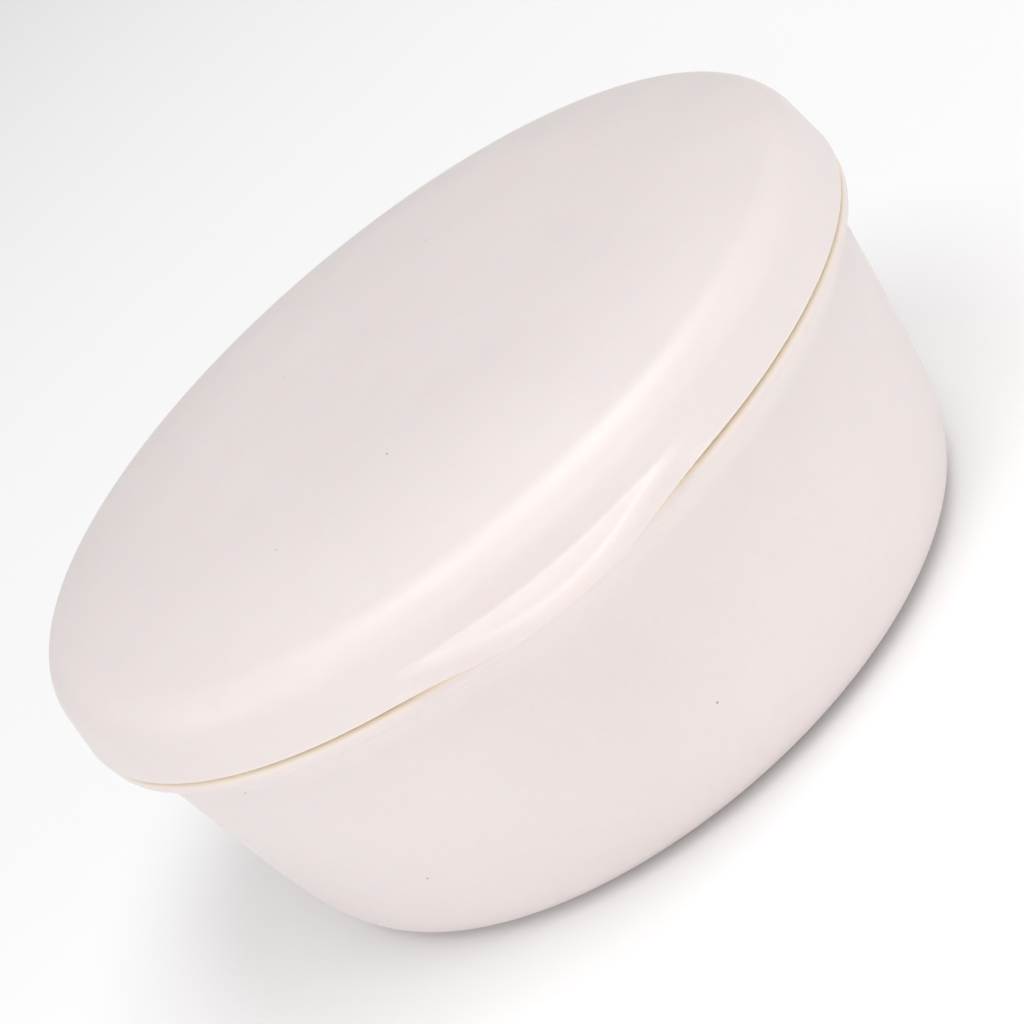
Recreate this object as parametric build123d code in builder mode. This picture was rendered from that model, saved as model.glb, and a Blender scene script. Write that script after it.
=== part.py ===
"""Shaving bowl with a lift-off lid: two moulded pieces, a bowl and a domed lid with a thumb lip.

Millimetres, +Z up. The origin is the centre of the flat foot, on the surface the bowl stands on,
and the thumb lip points along -Y.
"""

from build123d import *

import os
from math import acos, atan, cos, degrees, radians, tan

os.makedirs("parts", exist_ok=True)

# ---------------------------------------------------------------- driving dimensions
lid_radius = 50.0  # lid's lower edge, the widest part of the round body
bowl_height = 34.0  # foot to the top of the bowl's rim flange

# bowl
bowl_wall = 2.4
floor_thickness = 2.8
foot_inset = 13.0  # the flat foot's edge, inside the lid's edge
knee_height = 6.2  # the wall keeps its lean down to about here
wall_taper = 7.0  # degrees, the wall's lean just below the rim
rim_inset = 0.2  # rim flange's edge, inside the lid's edge
rim_thickness = 1.8  # upright edge of the rim flange, before its lower edge is rounded
rim_overhang = 2.8  # the flange's edge stands this far out from the wall under it
rim_hollow = 2.8  # height of the hollow curve from the flange into the wall
rim_top_round = 0.6  # the flange's upper edge, along the seam
rim_under_round = 1.0  # its soft lower edge
hollow_depth = 0.6  # how hard the hollow turns into the wall, as a share of its height
hollow_reach = 0.4  # how hard it turns into the flange, as a share of the overhang
foot_ring_width = 3.5
foot_recess_depth = 0.8
collar_thickness = 2.4  # upstanding collar that the lid fits over
collar_lead_in = 0.6
mouth_round = 0.4  # inner edge of the collar's top
near = 0.001  # two sizes closer than this are the same when an edge is looked for

# lid
skirt_height = 7.7  # lid's lower edge to the corner where the dome starts
skirt_lean = 1.1  # how far the skirt leans in over that height
lid_thickness = 2.1
dome_rise = 4.3  # crown above that corner
dome_flat = 30.0  # how far the middle of the dome stays nearly flat
dome_edge_slope = 17.0  # degrees, the dome's fall at its edge
dome_pull = 9.0  # how far in from the edge that fall begins
dome_edge_run = 3.6  # straight run of the dome's edge, which the shoulder rounds
shoulder_radius = 4.6
lid_seat_width = 1.9  # flat ledge inside the lid that lands on the bowl's collar
lid_seat_drop = 1.9  # the ledge, below the edge of the lid's ceiling
lid_inside_round = 1.5
seam_gap = 0.3  # between the lid's edge and the rim flange
lid_clearance = 0.3  # radial, lid's skirt to the collar

# thumb lip
lip_reach = 3.75  # proud of the lid's edge
lip_arc_radius = 18.5
lip_blend_radius = 90.0  # hollow curves, in plan, from the lip's ends into the skirt
lip_height = 2.4  # crease where the lip's flat top meets the middle of the skirt
lip_top_slope = 10.0  # degrees, the lip's top falls forward
lip_nose_radius = 1.2
lip_root_depth = 2.0  # the lip starts this deep inside the skirt's wall

# ---------------------------------------------------------------- heights and radii that follow
seam_z = bowl_height + seam_gap
foot_radius = lid_radius - foot_inset
rim_radius = lid_radius - rim_inset
rim_under_z = bowl_height - rim_thickness
neck_radius = rim_radius - rim_overhang
neck_z = rim_under_z - rim_hollow
knee_radius = neck_radius - (neck_z - knee_height) * tan(radians(wall_taper))
skirt_inside = lid_radius - lid_thickness
collar_radius = skirt_inside - lid_clearance
mouth_radius = collar_radius - collar_thickness
seat_radius = skirt_inside - lid_seat_width
corner_z = seam_z + skirt_height
corner_radius = lid_radius - skirt_lean
crown_z = corner_z + dome_rise
dome_fall = tan(radians(dome_edge_slope))
skirt_angle = degrees(atan(skirt_lean / skirt_height))
ceiling_edge_z = corner_z - lid_thickness + (corner_radius - seat_radius) * dome_fall
collar_top = ceiling_edge_z - lid_seat_drop
up_the_dome = Vector(-1, 0).rotate(Axis.Z, -dome_edge_slope)
dome_start = Vector(corner_radius, corner_z) + up_the_dome * dome_edge_run
ceiling_start = Vector(seat_radius, ceiling_edge_z) + up_the_dome * dome_edge_run
lip_front = lid_radius + lip_reach
top_fall = tan(radians(lip_top_slope))

# the hollow arc touches the skirt at the lip's tip and the lip's front arc at the join
lip_offset = lip_front - lip_arc_radius
blend_distance = lid_radius + lip_blend_radius
lip_spread = degrees(
    acos(
        (blend_distance**2 + lip_offset**2 - (lip_arc_radius + lip_blend_radius) ** 2)
        / (2 * blend_distance * lip_offset)
    )
)
forward = Vector(0, -1)
lip_centre = forward * lip_offset
lip_tip = (forward * lid_radius).rotate(Axis.Z, lip_spread)
blend_centre = (forward * blend_distance).rotate(Axis.Z, lip_spread)
lip_join = lip_centre + (blend_centre - lip_centre).normalized() * lip_arc_radius
root_share = 1 - lip_root_depth / lid_radius
lip_root = lid_radius * root_share * cos(radians(lip_spread))


def rings(part, radius, height):
    """The part's round edges of one radius at one height."""
    circles = part.edges().filter_by(GeomType.CIRCLE)
    return circles.filter_by(lambda e: abs(e.radius - radius) < near and abs(e.center().Z - height) < near)


# ---------------------------------------------------------------- bowl
with BuildPart() as bowl:
    with BuildSketch(Plane.XZ):
        with BuildLine():
            Line((0, 0), (foot_radius, 0))
            wall_outside = Bezier(
                (foot_radius, 0),
                (knee_radius, 0),
                (knee_radius, knee_height),
                (neck_radius, neck_z),
            )
            Bezier(
                wall_outside @ 1,
                wall_outside @ 1 + (wall_outside % 1) * rim_hollow * hollow_depth,
                (rim_radius - rim_overhang * hollow_reach, rim_under_z),
                (rim_radius, rim_under_z),
            )
            Polyline(
                (rim_radius, rim_under_z),
                (rim_radius, bowl_height),
                (collar_radius, bowl_height),
                (collar_radius, collar_top),
                (mouth_radius, collar_top),
                (mouth_radius, bowl_height),
            )
            Bezier(
                (mouth_radius, bowl_height),
                (knee_radius - bowl_wall, knee_height),
                (knee_radius - bowl_wall, floor_thickness),
                (foot_radius - bowl_wall, floor_thickness),
            )
            Line((foot_radius - bowl_wall, floor_thickness), (0, floor_thickness))
            Line((0, floor_thickness), (0, 0))
        make_face()
    revolve(axis=Axis.Z)

    # a shallow recess under the foot leaves a ring to stand on
    with BuildSketch(Plane.XY):
        Circle(foot_radius - foot_ring_width)
    extrude(amount=foot_recess_depth, mode=Mode.SUBTRACT)

    fillet(rings(bowl, rim_radius, bowl_height), rim_top_round)
    fillet(rings(bowl, rim_radius, rim_under_z), rim_under_round)
    fillet(rings(bowl, mouth_radius, collar_top), mouth_round)
    chamfer(rings(bowl, collar_radius, collar_top), collar_lead_in)
bowl.part.label = "bowl"
export_step(bowl.part, "parts/bowl.step")

# ---------------------------------------------------------------- lid
with BuildPart() as lid:
    # block that becomes the thumb lip, cut off by the lip's flat top, which falls forward from the crease
    with BuildSketch(Plane.YZ) as lip_side:
        with BuildLine():
            Polyline(
                (-lip_root, seam_z),
                (-lip_front, seam_z),
                (-lip_front, seam_z + lip_height - lip_reach * top_fall),
                (-lip_root, seam_z + lip_height + (lid_radius - lip_root) * top_fall),
                close=True,
            )
        make_face()
    extrude(amount=lip_front, both=True)

    # its plan, leaning in as the skirt does: a front arc, and a hollow arc on each side that runs out along the skirt
    with BuildSketch(Plane.XY.offset(seam_z)):
        with BuildLine():
            front = RadiusArc((0, -lip_front), lip_join, -lip_arc_radius)
            side = RadiusArc(lip_join, lip_tip, lip_blend_radius)
            back = RadiusArc(lip_tip * root_share, (0, -lid_radius * root_share), lid_radius * root_share)
            Line(side @ 1, back @ 0)
            Line(back @ 1, front @ 0)
        make_face()
        mirror(about=Plane.YZ)
    extrude(amount=skirt_height, taper=skirt_angle, mode=Mode.INTERSECT)
    lip_top = lid.faces().sort_by(Axis.Z)[-1]
    curved_edges = lip_top.edges().filter_by(GeomType.ELLIPSE).sort_by(SortBy.LENGTH)
    fillet(curved_edges[:-1], lip_nose_radius)  # all but the long one at its root

    # domed shell, with a ledge inside its skirt that lands on the bowl's collar
    with BuildSketch(Plane.XZ) as shell_section:
        with BuildLine():
            Bezier(
                (0, crown_z),
                (dome_flat, crown_z),
                dome_start + up_the_dome * dome_pull,
                dome_start,
            )
            Polyline(
                dome_start,
                (corner_radius, corner_z),
                (lid_radius, seam_z),
                (skirt_inside, seam_z),
                (skirt_inside, collar_top),
                (seat_radius, collar_top),
                (seat_radius, ceiling_edge_z),
                ceiling_start,
            )
            Bezier(
                ceiling_start,
                ceiling_start + up_the_dome * dome_pull,
                (dome_flat, crown_z - lid_thickness),
                (0, crown_z - lid_thickness),
            )
            Line((0, crown_z - lid_thickness), (0, crown_z))
        make_face()
        fillet(shell_section.vertices().filter_by(lambda v: abs(v.Y - corner_z) < near), shoulder_radius)
        fillet(shell_section.vertices().filter_by(lambda v: abs(v.Y - ceiling_edge_z) < near), lid_inside_round)
    revolve(axis=Axis.Z)
lid.part.label = "lid"
export_step(lid.part, "parts/lid.step")
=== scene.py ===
"""Looks of the lidded shaving bowl: a turned bowl and a domed lid with a thumb lip, in moulded plastic.

Metres, +Z up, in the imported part's own frame. The thumb lip points along -Y.
"""

import math

import bmesh
import bpy
from mathutils import Matrix, Vector
from mathutils.geometry import interpolate_bezier


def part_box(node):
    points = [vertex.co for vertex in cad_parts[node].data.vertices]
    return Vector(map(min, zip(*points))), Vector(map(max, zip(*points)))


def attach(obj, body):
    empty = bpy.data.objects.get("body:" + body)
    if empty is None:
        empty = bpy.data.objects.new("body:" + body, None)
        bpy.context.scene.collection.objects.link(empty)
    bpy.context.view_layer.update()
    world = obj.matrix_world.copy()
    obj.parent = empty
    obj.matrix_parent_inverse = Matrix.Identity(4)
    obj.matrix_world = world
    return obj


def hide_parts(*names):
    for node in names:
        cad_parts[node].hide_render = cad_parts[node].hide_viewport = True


MM = 0.001
TURN_STEPS = 360  # faces round the bowl and the lid
JUST_SHORT = 0.98  # keeps a rounding clear of the point that the run before it ends on

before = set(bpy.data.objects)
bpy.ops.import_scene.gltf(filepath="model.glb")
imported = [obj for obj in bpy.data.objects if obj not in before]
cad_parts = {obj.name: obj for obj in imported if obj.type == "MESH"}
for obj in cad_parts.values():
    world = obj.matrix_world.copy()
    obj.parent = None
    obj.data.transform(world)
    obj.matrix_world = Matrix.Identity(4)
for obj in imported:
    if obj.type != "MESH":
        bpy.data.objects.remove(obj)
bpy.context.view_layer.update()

# ---------------------------------------------------------------- sizes read from the frame
bowl_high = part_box("bowl")[1]
lid_low, lid_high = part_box("lid")
lid_radius = lid_high.x
rim_radius = bowl_high.x
seam_z = lid_low.z
crown_z = lid_high.z
collar_top = bowl_high.z
lip_front = -lid_low.y

# ---------------------------------------------------------------- moulding sizes
# bowl
bowl_wall = 2.4 * MM
floor_thickness = 2.8 * MM
foot_radius = lid_radius - 13.0 * MM
knee_height = 6.2 * MM
wall_taper = math.radians(7.0)
rim_thickness = 1.8 * MM
rim_overhang = 2.8 * MM
rim_hollow = 2.8 * MM
rim_top_round = 0.6 * MM
rim_under_round = 1.0 * MM
hollow_depth = 0.6  # how hard the hollow turns into the wall, as a share of its height
hollow_reach = 0.4  # how hard it turns into the flange, as a share of the overhang
foot_ring_width = 3.5 * MM
foot_recess = 0.8 * MM
recess_corner_round = 0.5 * MM
recess_corner_inset = 0.4 * MM
foot_ring_round = 0.3 * MM  # inner edge of the ring the bowl stands on
collar_root_round = 0.15 * MM
collar_lead_in = 0.6 * MM
mouth_round = 0.5 * MM  # inner edge of the collar's top
collar_thickness = 2.4 * MM
seam_gap = 0.3 * MM
lid_clearance = 0.3 * MM

# lid
skirt_height = 7.7 * MM
skirt_lean = 1.1 * MM
lid_thickness = 2.1 * MM
dome_flat = 30.0 * MM  # handle that keeps the middle of the dome nearly flat
dome_pull = 9.0 * MM  # handle that steepens the dome towards its edge
dome_edge_slope = math.radians(17.0)
dome_edge_run = 3.6 * MM  # straight run of the dome's edge, which the shoulder rounds
shoulder_radius = 4.6 * MM
lid_seat_width = 1.9 * MM
lid_edge_round = 0.25 * MM  # the lid's lower edge, inside and outside
lid_seat_round = 0.3 * MM
lid_inside_round = 1.5 * MM

# thumb lip
lip_arc_radius = 18.5 * MM
lip_blend_radius = 90.0 * MM
lip_height = 2.4 * MM  # crease where the lip's flat top meets the middle of the skirt
lip_top_fall = math.tan(math.radians(10.0))
lip_nose_radius = 1.2 * MM
lip_crease_radius = 0.5 * MM
lip_soft_reach = 1.6 * MM  # where the lip stands out less than this, its top runs softly into its front
lip_tip_drop = 1.0 * MM  # extra height that soft top takes up at the lip's tips
lip_fade = 0.2 * MM  # where the lip stands out less than this, it fades into the plain skirt
lip_zone = 4.2 * MM  # band of the skirt, above its lower edge, that swells into the lip
lip_edge = 0.3 * MM  # the lip's lowest edge, which is rounded with the skirt's
ROUND_STEPS = 8
LIP_ROWS = 2 * ROUND_STEPS + 3  # rows of faces in a section of the lip
INSIDE_ONLY = 0.6 * MM  # points this far behind the skirt's face belong to the lid's inside
LEAST_REACH = 0.001 * MM  # the lip is left alone where it stands out less than this

# ---------------------------------------------------------------- heights and radii that follow
rim_top = seam_z - seam_gap
rim_under = rim_top - rim_thickness
neck = Vector((rim_radius - rim_overhang, rim_under - rim_hollow))
knee_radius = neck.x - (neck.y - knee_height) * math.tan(wall_taper)
skirt_inside = lid_radius - lid_thickness
collar_radius = skirt_inside - lid_clearance
mouth_radius = collar_radius - collar_thickness
seat_radius = skirt_inside - lid_seat_width
corner = Vector((lid_radius - skirt_lean, seam_z + skirt_height))
up_the_dome = Vector((-math.cos(dome_edge_slope), math.sin(dome_edge_slope)))


# ---------------------------------------------------------------- outlines, (distance from the axis, height)
def run(start, end, steps):
    """Evenly spaced points of a straight run."""
    return [start.lerp(end, i / steps) for i in range(steps + 1)]


def bend(start, handle, other_handle, end, steps):
    """Points of a smooth curve pulled towards its two handles."""
    return [Vector(p) for p in interpolate_bezier(start, handle, other_handle, end, steps + 1)]


def rounded(corners, steps=5):
    """The outline through some corners, each given with the radius that rounds it."""
    points = []
    for i, (place, radius) in enumerate(corners):
        if radius == 0 or i in (0, len(corners) - 1):
            points.append(place)
            continue
        before = (corners[i - 1][0] - place).normalized()
        after = (corners[i + 1][0] - place).normalized()
        half_turn = (math.pi - before.angle(after)) / 2
        back = radius * math.tan(half_turn)
        pull = back - radius * math.tan(half_turn / 2) * 4 / 3
        points += bend(
            place + before * back,
            place + before * pull,
            place + after * pull,
            place + after * back,
            steps,
        )
    return points


def bowl_outline():
    """From the middle of the underside, up the outside, over the collar and down to the inside floor."""
    ring_inside = foot_radius - foot_ring_width
    recess = rounded(
        [
            (Vector((0, foot_recess)), 0),
            (Vector((ring_inside - recess_corner_inset, foot_recess)), recess_corner_round),
            (Vector((ring_inside, 0)), foot_ring_round),
            (Vector((foot_radius, 0)), 0),
        ]
    )
    wall = bend(
        Vector((foot_radius, 0)),
        Vector((knee_radius, 0)),
        Vector((knee_radius, knee_height)),
        neck,
        steps=56,
    )
    lean = Vector((math.sin(wall_taper), math.cos(wall_taper)))
    hollow = bend(
        neck,
        neck + lean * rim_hollow * hollow_depth,
        Vector((rim_radius - rim_overhang * hollow_reach, rim_under)),
        Vector((rim_radius - rim_under_round, rim_under)),
        steps=16,
    )
    flange = rounded(
        [
            (hollow[-1], 0),
            (Vector((rim_radius, rim_under)), rim_under_round * JUST_SHORT),
            (Vector((rim_radius, rim_top)), rim_top_round),
            (Vector((collar_radius, rim_top)), collar_root_round),
            (Vector((collar_radius, collar_top)), collar_lead_in),
            (Vector((mouth_radius, collar_top)), mouth_round),
            (Vector((mouth_radius, rim_top)), 0),
        ]
    )
    inside = bend(
        Vector((mouth_radius, rim_top)),
        Vector((knee_radius - bowl_wall, knee_height)),
        Vector((knee_radius - bowl_wall, floor_thickness)),
        Vector((foot_radius - bowl_wall, floor_thickness)),
        steps=48,
    )
    floor = run(inside[-1], Vector((0, floor_thickness)), steps=6)
    return recess + wall[1:] + hollow[1:] + flange[1:] + inside[1:] + floor[1:]


def lid_outline():
    """From the crown, over the shoulder, down the skirt, and back inside to the middle of the ceiling."""
    crown = Vector((0, crown_z))
    foot_of_skirt = Vector((lid_radius, seam_z))
    lean = (corner - foot_of_skirt) / skirt_height
    zone_top = foot_of_skirt + lean * lip_zone
    edge_top = foot_of_skirt + lean * lip_edge
    dome_end = corner + up_the_dome * dome_edge_run
    dome = bend(
        crown,
        crown + Vector((dome_flat, 0)),
        dome_end + up_the_dome * dome_pull,
        dome_end,
        steps=36,
    )
    shoulder = rounded([(dome_end, 0), (corner, shoulder_radius), (zone_top, 0)], steps=18)
    skirt = run(zone_top, edge_top, LIP_ROWS)

    wall = Vector((0, lid_thickness))
    ceiling_rise = (corner.x - seat_radius) * math.tan(dome_edge_slope)
    ceiling_edge = Vector((seat_radius, corner.y - lid_thickness + ceiling_rise))
    ceiling_end = ceiling_edge + up_the_dome * dome_edge_run
    inside = rounded(
        [
            (edge_top, 0),
            (foot_of_skirt, lid_edge_round),
            (Vector((skirt_inside, seam_z)), lid_edge_round),
            (Vector((skirt_inside, collar_top)), lid_seat_round),
            (Vector((seat_radius, collar_top)), lid_seat_round),
            (ceiling_edge, lid_inside_round),
            (ceiling_end, 0),
        ]
    )
    ceiling = bend(
        ceiling_end,
        ceiling_end + up_the_dome * dome_pull,
        crown - wall + Vector((dome_flat, 0)),
        crown - wall,
        steps=20,
    )
    return dome + shoulder[1:] + skirt[1:] + inside[1:] + ceiling[1:]


# ---------------------------------------------------------------- mesh making
def turned(outline):
    """A bmesh turned from an outline round +Z."""
    bm = bmesh.new()
    verts = [bm.verts.new((p.x, 0, p.y)) for p in outline]
    edges = [bm.edges.new(pair) for pair in zip(verts, verts[1:])]
    bmesh.ops.spin(
        bm,
        geom=verts + edges,
        cent=(0, 0, 0),
        axis=(0, 0, 1),
        angle=math.tau,
        steps=TURN_STEPS,
        use_merge=True,
    )
    bmesh.ops.remove_doubles(bm, verts=bm.verts, dist=0.0005 * MM)
    bmesh.ops.recalc_face_normals(bm, faces=bm.faces)
    return bm


def lip_reach_at(turn):
    """How far the lip stands out from the skirt's lower edge at an angle from the lip's middle."""
    turn = abs(turn)
    offset = lip_front - lip_arc_radius
    reach = lid_radius + lip_blend_radius
    both = lip_arc_radius + lip_blend_radius
    tip = math.acos((reach**2 + offset**2 - both**2) / (2 * reach * offset))
    if turn >= tip:
        return 0.0
    blend_centre = Vector((math.sin(tip), math.cos(tip))) * reach
    lip_centre = Vector((0, offset))
    join = lip_centre.lerp(blend_centre, lip_arc_radius / both)
    if turn < math.atan2(join.x, join.y):
        radius = offset * math.cos(turn) + math.sqrt(lip_arc_radius**2 - (offset * math.sin(turn)) ** 2)
    else:
        beside = tip - turn
        radius = reach * math.cos(beside) - math.sqrt(lip_blend_radius**2 - (reach * math.sin(beside)) ** 2)
    return radius - lid_radius


def lip_section(turn, reach):
    """The lip's outline at one angle, as (distance out from the skirt, height above the seam), top first."""
    crease = lip_height + lid_radius * (1 - math.cos(turn)) * lip_top_fall
    softness = 1 - min(1, reach / lip_soft_reach)
    nose = crease - reach * math.cos(turn) * lip_top_fall - lip_tip_drop * softness
    return rounded(
        [
            (Vector((0, lip_zone)), 0),
            (Vector((0, crease)), lip_crease_radius),
            (Vector((reach, nose)), lip_nose_radius),
            (Vector((reach, lip_edge)), 0),
        ],
        steps=ROUND_STEPS,
    )


def raise_lip(bm):
    """Swells the skirt's front into the thumb lip: a crease, a flat top that falls forward, a round nose."""
    for v in bm.verts:
        height = v.co.z - seam_z
        out = math.hypot(v.co.x, v.co.y)
        skirt_out = lid_radius - skirt_lean * height / skirt_height
        turn = math.atan2(v.co.x, -v.co.y)
        reach = lip_reach_at(turn)
        if reach < LEAST_REACH or height > lip_zone or out < skirt_out - INSIDE_ONLY:
            continue
        if height < lip_edge:
            new_out = out + reach
        else:
            row = round((lip_zone - height) / (lip_zone - lip_edge) * LIP_ROWS)
            swollen = lip_section(turn, reach)[row]
            place = Vector((0, height)).lerp(swollen, min(1, reach / lip_fade))
            new_out = lid_radius - skirt_lean * place.y / skirt_height + place.x
            v.co.z = seam_z + place.y
        v.co.x *= new_out / out
        v.co.y *= new_out / out


def finished(name, bm, body, material):
    """Turns a bmesh into a smooth piece that stands for the CAD node of the same body."""
    mesh = bpy.data.meshes.new(name)
    bm.to_mesh(mesh)
    bm.free()
    mesh.shade_smooth()
    piece = bpy.data.objects.new(name, mesh)
    bpy.context.scene.collection.objects.link(piece)
    mesh.materials.append(material)
    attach(piece, body)
    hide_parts(body)
    return piece


# ---------------------------------------------------------------- materials
def shader_group(name, inputs, outputs):
    """An empty shader group with its input and output nodes.

    Inputs are (name, kind, value) and outputs (name, kind).
    """
    group = bpy.data.node_groups.new(name, "ShaderNodeTree")
    for label, kind, value in inputs:
        socket = group.interface.new_socket(label, in_out="INPUT", socket_type=kind)
        if value is not None:
            socket.default_value = value
    for label, kind in outputs:
        group.interface.new_socket(label, in_out="OUTPUT", socket_type=kind)
    return group, group.nodes.new("NodeGroupInput"), group.nodes.new("NodeGroupOutput")


def noise(group, place, size, detail):
    """A noise texture whose patches are about as large as size, in metres."""
    texture = group.nodes.new("ShaderNodeTexNoise")
    texture.inputs["Scale"].default_value = 1 / size
    texture.inputs["Detail"].default_value = detail
    group.links.new(place, texture.inputs["Vector"])
    return texture.outputs["Fac"]


def map_range(tree, value, low, high, to_low, to_high, smooth=False):
    """A Map Range node; each bound is a number or another node's output."""
    node = tree.nodes.new("ShaderNodeMapRange")
    if smooth:
        node.interpolation_type = "SMOOTHSTEP"
    tree.links.new(value, node.inputs["Value"])
    for label, bound in zip(("From Min", "From Max", "To Min", "To Max"), (low, high, to_low, to_high)):
        if isinstance(bound, bpy.types.NodeSocket):
            tree.links.new(bound, node.inputs[label])
        else:
            node.inputs[label].default_value = bound
    return node.outputs["Result"]


def math_node(tree, operation, first, second=None):
    node = tree.nodes.new("ShaderNodeMath")
    node.operation = operation
    for socket, value in zip(node.inputs, (first, second)):
        if isinstance(value, bpy.types.NodeSocket):
            tree.links.new(value, socket)
        elif value is not None:
            socket.default_value = value
    return node.outputs[0]


def make_moulded_skin():
    """Slow drifts of tone from the moulding, and the fine waviness of a polished tool."""
    group, inside, outside = shader_group(
        "moulded_skin",
        [("Place", "NodeSocketVector", None)],
        [("Tone", "NodeSocketFloat"), ("Sheen Patches", "NodeSocketFloat"), ("Height", "NodeSocketFloat")],
    )
    place = inside.outputs["Place"]
    wide = noise(group, place, 28 * MM, 2)
    fine = noise(group, place, 3.5 * MM, 3)
    most = math_node(group, "MULTIPLY", wide, 0.75)
    rest = math_node(group, "MULTIPLY", fine, 0.25)
    tone = math_node(group, "ADD", most, rest)
    group.links.new(map_range(group, tone, 0.35, 0.65, 0, 1), outside.inputs["Tone"])
    patches = map_range(group, noise(group, place, 9 * MM, 4), 0.35, 0.65, 0, 1)
    group.links.new(patches, outside.inputs["Sheen Patches"])
    grain = noise(group, place, 0.9 * MM, 2)
    waves = noise(group, place, 6 * MM, 1)
    height = math_node(group, "ADD", math_node(group, "MULTIPLY", grain, 0.15), waves)
    group.links.new(height, outside.inputs["Height"])
    return group


def make_dark_specks():
    """Sparse pin-prick specks, where a scattered point lies close under the surface."""
    group, inside, outside = shader_group(
        "dark_specks",
        [
            ("Place", "NodeSocketVector", None),
            ("Points per Metre", "NodeSocketFloat", 165.0),
            ("Size", "NodeSocketFloat", 0.03),
        ],
        [("Mask", "NodeSocketFloat")],
    )
    points = group.nodes.new("ShaderNodeTexVoronoi")
    group.links.new(inside.outputs["Place"], points.inputs["Vector"])
    group.links.new(inside.outputs["Points per Metre"], points.inputs["Scale"])
    size = inside.outputs["Size"]
    core = math_node(group, "MULTIPLY", size, 0.4)
    group.links.new(map_range(group, points.outputs["Distance"], core, size, 1, 0), outside.inputs["Mask"])
    return group


def make_joint_painted_glow():
    """Mask of the warm glow painted into the colour: strongest in the joint between lid and bowl; none on
    the lip or inside the bowl.
    """
    group, inside, outside = shader_group(
        "joint_painted_glow",
        [
            ("Place", "NodeSocketVector", None),
            ("Height", "NodeSocketFloat", 0.0),
            ("Reach", "NodeSocketFloat", 0.5 * MM),
            ("Inner Radius", "NodeSocketFloat", 45 * MM),
            ("Outer Radius", "NodeSocketFloat", 50 * MM),
        ],
        [("Mask", "NodeSocketFloat")],
    )
    split = group.nodes.new("ShaderNodeSeparateXYZ")
    group.links.new(inside.outputs["Place"], split.inputs[0])
    above = math_node(group, "SUBTRACT", split.outputs["Z"], inside.outputs["Height"])
    away = math_node(group, "ABSOLUTE", above)
    near_joint = map_range(group, away, 0, inside.outputs["Reach"], 1, 0, smooth=True)
    flat = group.nodes.new("ShaderNodeCombineXYZ")
    group.links.new(split.outputs["X"], flat.inputs["X"])
    group.links.new(split.outputs["Y"], flat.inputs["Y"])
    length = group.nodes.new("ShaderNodeVectorMath")
    length.operation = "LENGTH"
    group.links.new(flat.outputs[0], length.inputs[0])
    inward = math_node(group, "SUBTRACT", inside.outputs["Outer Radius"], length.outputs["Value"])
    off_the_lip = map_range(group, inward, -JOINT_FADE, 0, 0, 1)
    outward = math_node(group, "SUBTRACT", length.outputs["Value"], inside.outputs["Inner Radius"])
    outside_the_bowl = map_range(group, outward, 0, JOINT_FADE, 0, 1)
    on_the_round = math_node(group, "MULTIPLY", off_the_lip, outside_the_bowl)
    group.links.new(math_node(group, "MULTIPLY", near_joint, on_the_round), outside.inputs["Mask"])
    return group


def mix_colours(tree, mask, first, second):
    """Mixes two colours, each a tuple or another node's output."""
    node = tree.nodes.new("ShaderNodeMix")
    node.data_type = "RGBA"
    tree.links.new(mask, node.inputs["Factor"])
    for label, colour in (("A", first), ("B", second)):
        socket = next(i for i in node.inputs if i.name == label and i.type == "RGBA")
        if isinstance(colour, bpy.types.NodeSocket):
            tree.links.new(colour, socket)
        else:
            socket.default_value = (*colour, 1)
    return next(o for o in node.outputs if o.type == "RGBA")


def use_group(tree, group, place):
    node = tree.nodes.new("ShaderNodeGroup")
    node.node_tree = group
    tree.links.new(place, node.inputs["Place"])
    return node


def ivory_plastic_with_painted_glow(name, joint_height, joint_reach):
    """Glossy ivory-white moulded plastic, with a warm glow painted into its colour along the joint."""
    material = bpy.data.materials.new(name)
    material.use_nodes = True
    tree = material.node_tree
    shader = tree.nodes["Principled BSDF"]
    place = tree.nodes.new("ShaderNodeTexCoord").outputs["Object"]
    skin = use_group(tree, moulded_skin, place)
    specks = use_group(tree, dark_specks, place)
    painted_glow = use_group(tree, joint_painted_glow, place)
    painted_glow.inputs["Height"].default_value = joint_height
    painted_glow.inputs["Reach"].default_value = joint_reach
    painted_glow.inputs["Inner Radius"].default_value = collar_radius - JOINT_DEPTH
    painted_glow.inputs["Outer Radius"].default_value = lid_radius

    body = mix_colours(tree, skin.outputs["Tone"], PLASTIC_DEEP, PLASTIC_PALE)
    # painted light: a warm glow mixed into the colour along the joint, standing in for light bouncing in the
    # gap and shining through the plastic
    with_painted_glow = mix_colours(tree, painted_glow.outputs["Mask"], body, JOINT_PAINTED_GLOW)
    colour = mix_colours(tree, specks.outputs["Mask"], with_painted_glow, SPECK_BROWN)
    tree.links.new(colour, shader.inputs["Base Color"])

    roughness = map_range(tree, skin.outputs["Sheen Patches"], 0, 1, *ROUGHNESS_RANGE)
    tree.links.new(roughness, shader.inputs["Roughness"])
    bump = tree.nodes.new("ShaderNodeBump")
    bump.inputs["Strength"].default_value = 0.3
    bump.inputs["Distance"].default_value = 0.02 * MM
    tree.links.new(skin.outputs["Height"], bump.inputs["Height"])
    tree.links.new(bump.outputs["Normal"], shader.inputs["Normal"])

    shader.inputs["IOR"].default_value = 1.5
    shader.inputs["Subsurface Weight"].default_value = 0.5
    shader.inputs["Subsurface Radius"].default_value = (1.0, 0.55, 0.3)
    shader.inputs["Subsurface Scale"].default_value = 0.7 * MM
    return material


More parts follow.
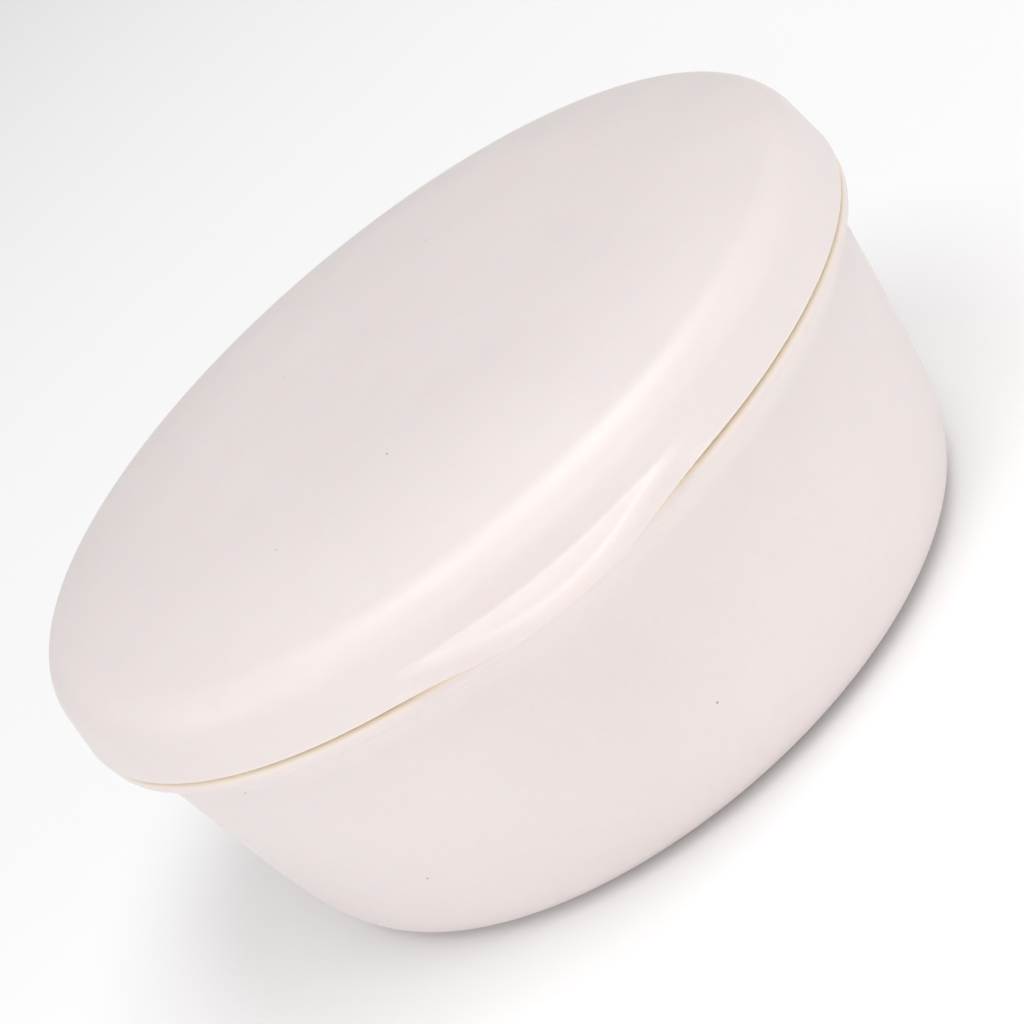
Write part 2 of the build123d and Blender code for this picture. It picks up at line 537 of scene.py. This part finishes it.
JOINT_FADE = 0.4 * MM  # width over which the glow painted at the joint fades out, across the flange
JOINT_DEPTH = 0.6 * MM  # the painted glow starts this deep inside the collar's outer face
ROUGHNESS_RANGE = (0.36, 0.44)
PLASTIC_PALE = (0.822, 0.751, 0.741)
PLASTIC_DEEP = (0.802, 0.730, 0.719)
# warm tan of the glow painted along the joint, lighter than the plastic itself
JOINT_PAINTED_GLOW = (0.90, 0.80, 0.69)
SPECK_BROWN = (0.30, 0.24, 0.22)

moulded_skin = make_moulded_skin()
dark_specks = make_dark_specks()
joint_painted_glow = make_joint_painted_glow()

finished(
    "bowl_moulding",
    turned(bowl_outline()),
    "bowl",
    ivory_plastic_with_painted_glow("bowl_white_plastic", joint_height=rim_top, joint_reach=0.9 * MM),
)
lid_bm = turned(lid_outline())
raise_lip(lid_bm)
finished(
    "lid_moulding",
    lid_bm,
    "lid",
    ivory_plastic_with_painted_glow("lid_white_plastic", joint_height=seam_z, joint_reach=0.35 * MM),
)


# ---------------------------------------------------------------- stage
def look_matrix(place, back, roll):
    """The matrix of a camera or light that looks along -back, turned by roll about its line of sight."""
    right = Vector((0, 0, 1)).cross(back).normalized()
    up = back.cross(right)
    axes = Matrix((right, up, back)).transposed()
    return Matrix.Translation(place) @ (axes @ Matrix.Rotation(roll, 3, "Z")).to_4x4()


def direction(azimuth, elevation):
    """Unit vector away from the bowl; azimuth 0 is in front, on the lip's side, positive to the right."""
    a, e = math.radians(azimuth), math.radians(elevation)
    return Vector((math.sin(a) * math.cos(e), -math.cos(a) * math.cos(e), math.sin(e)))


def add_camera():
    azimuth, elevation, roll = 1.6, 23.27, 40.44
    distance = 6.0 * lid_radius
    aim_left, aim_below = 0.3 * MM, 11.46 * MM
    back = direction(azimuth, elevation)
    right = Vector((0, 0, 1)).cross(back).normalized()
    up = back.cross(right)
    aim = Vector((0, 0, seam_z)) - right * aim_left - up * aim_below
    data = bpy.data.cameras.new("camera")
    data.lens = 99.69
    data.sensor_width = 36.0
    data.clip_start = 0.01
    camera = bpy.data.objects.new("camera", data)
    camera.matrix_world = look_matrix(aim + back * distance, back, math.radians(-roll))
    bpy.context.scene.collection.objects.link(camera)
    bpy.context.scene.camera = camera


def add_soft_light(name, azimuth, elevation, power, width, height):
    """A soft box, aimed at the bowl from SOFT_LIGHT_DISTANCE away."""
    data = bpy.data.lights.new(name, "AREA")
    data.shape = "RECTANGLE"
    data.size = width
    data.size_y = height
    data.energy = power
    light = bpy.data.objects.new(name, data)
    towards = direction(azimuth, elevation)
    light.matrix_world = look_matrix(Vector((0, 0, seam_z)) + towards * SOFT_LIGHT_DISTANCE, towards, 0)
    bpy.context.scene.collection.objects.link(light)


def add_floor():
    bm = bmesh.new()
    bmesh.ops.create_circle(bm, cap_ends=True, radius=FLOOR_RADIUS, segments=64)
    mesh = bpy.data.meshes.new("floor")
    bm.to_mesh(mesh)
    bm.free()
    floor = bpy.data.objects.new("floor", mesh)
    bpy.context.scene.collection.objects.link(floor)
    paper = bpy.data.materials.new("white_paper")
    paper.use_nodes = True
    shader = paper.node_tree.nodes["Principled BSDF"]
    shader.inputs["Base Color"].default_value = (0.98, 0.98, 0.98, 1)
    shader.inputs["Roughness"].default_value = 0.9
    shader.inputs["Specular IOR Level"].default_value = 0.0
    mesh.materials.append(paper)


def add_world(strength):
    """Even pale light from all round."""
    world = bpy.data.worlds.new("studio")
    world.use_nodes = True
    background = world.node_tree.nodes["Background"]
    background.inputs["Color"].default_value = (1, 1, 1, 1)
    background.inputs["Strength"].default_value = strength
    bpy.context.scene.world = world


SOFT_LIGHT_DISTANCE = 1.5
SQUARE_BOX = (0.8, 0.8)
WIDE_BOX = (1.8, 0.7)
FLOOR_RADIUS = 6.0

add_camera()
add_floor()
add_world(0.34)
add_soft_light("left_overhead", -45, 68, 5.4, *SQUARE_BOX)
add_soft_light("right_overhead", 45, 68, 5.1, *SQUARE_BOX)
add_soft_light("side_overhead", 90, 68, 4.6, *SQUARE_BOX)
add_soft_light("front_fill", 0, 15, 4.7, *WIDE_BOX)
add_soft_light("left_fill", -75, 15, 4.8, *WIDE_BOX)
add_soft_light("right_fill", 60, 15, 3.1, *WIDE_BOX)
bpy.context.scene.view_settings.view_transform = "Standard"
